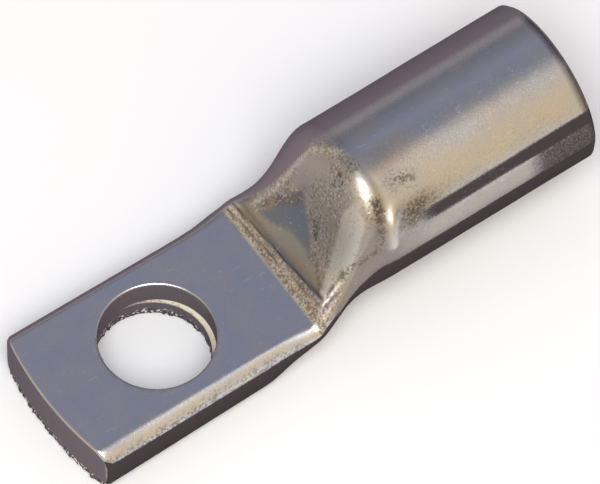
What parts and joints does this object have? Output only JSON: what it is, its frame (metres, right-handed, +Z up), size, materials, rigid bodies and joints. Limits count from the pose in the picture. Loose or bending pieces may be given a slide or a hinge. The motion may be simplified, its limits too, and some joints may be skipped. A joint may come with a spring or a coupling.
{
  "type": "cable lug",
  "caption": "Tubular cable lug pressed from one length of tube: a round barrel for the conductor runs down a pressed slope into a flat palm with a hole for a stud.",
  "frame": {"origin": "centre of the stud hole on the palm's underside, which is the contact face", "axes": "+X along the barrel towards its open mouth, +Z up out of the palm along the stud hole, +Y across the palm"},
  "size_m": [0.0537, 0.0164, 0.0165],
  "materials": {
    "tinned_copper": "dull tin plating over copper, finely scratched and speckled, darker on the cut ends"
  },
  "bodies": {
    "root": {"lug": "tinned_copper"}
  },
  "joints": []
}
